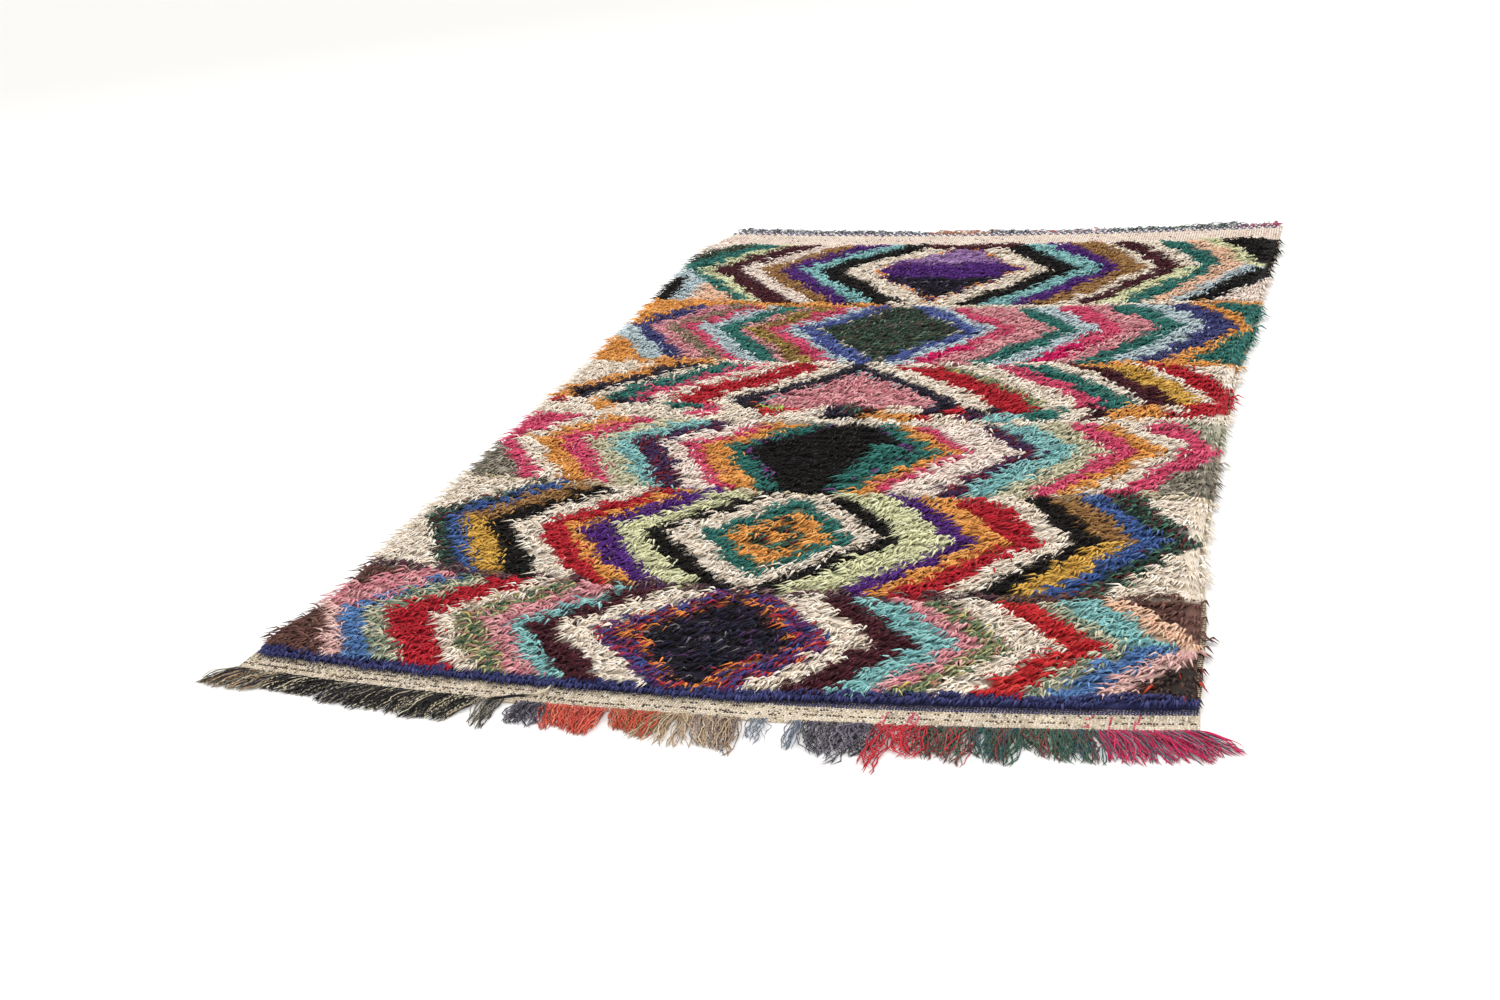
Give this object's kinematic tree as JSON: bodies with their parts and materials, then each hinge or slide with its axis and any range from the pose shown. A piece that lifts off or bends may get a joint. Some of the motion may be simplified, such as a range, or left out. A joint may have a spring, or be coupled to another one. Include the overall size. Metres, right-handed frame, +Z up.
{
  "type": "boucherouite rug",
  "caption": "Flat shag rug of cut rag and yarn knotted on a woven ground, with bands of diamond rings in many colours, bare woven ends and loose warp fringes.",
  "frame": {"origin": "under the middle of the rug's box, on the floor that the rug lies on", "axes": "+X across the rug to the right as seen from its near end, +Y along it to its far end, +Z up out of the pile"},
  "size_m": [1.6018, 2.9517, 0.0308],
  "materials": {
    "ground_weave": "matt cream and ecru twined yarn with thin dark weft lines",
    "pile": "matt cut yarn and rag locks in many colours, in rings of diamonds",
    "fringe_near": "matt twisted warp ends in charcoal, red, tan, green and magenta",
    "fringe_far": "matt twisted warp ends in grey blue, tan, green and magenta"
  },
  "bodies": {
    "root": {"ground_weave": "ground_weave", "pile": "pile", "fringe_near": "fringe_near", "fringe_far": "fringe_far"}
  },
  "joints": []
}
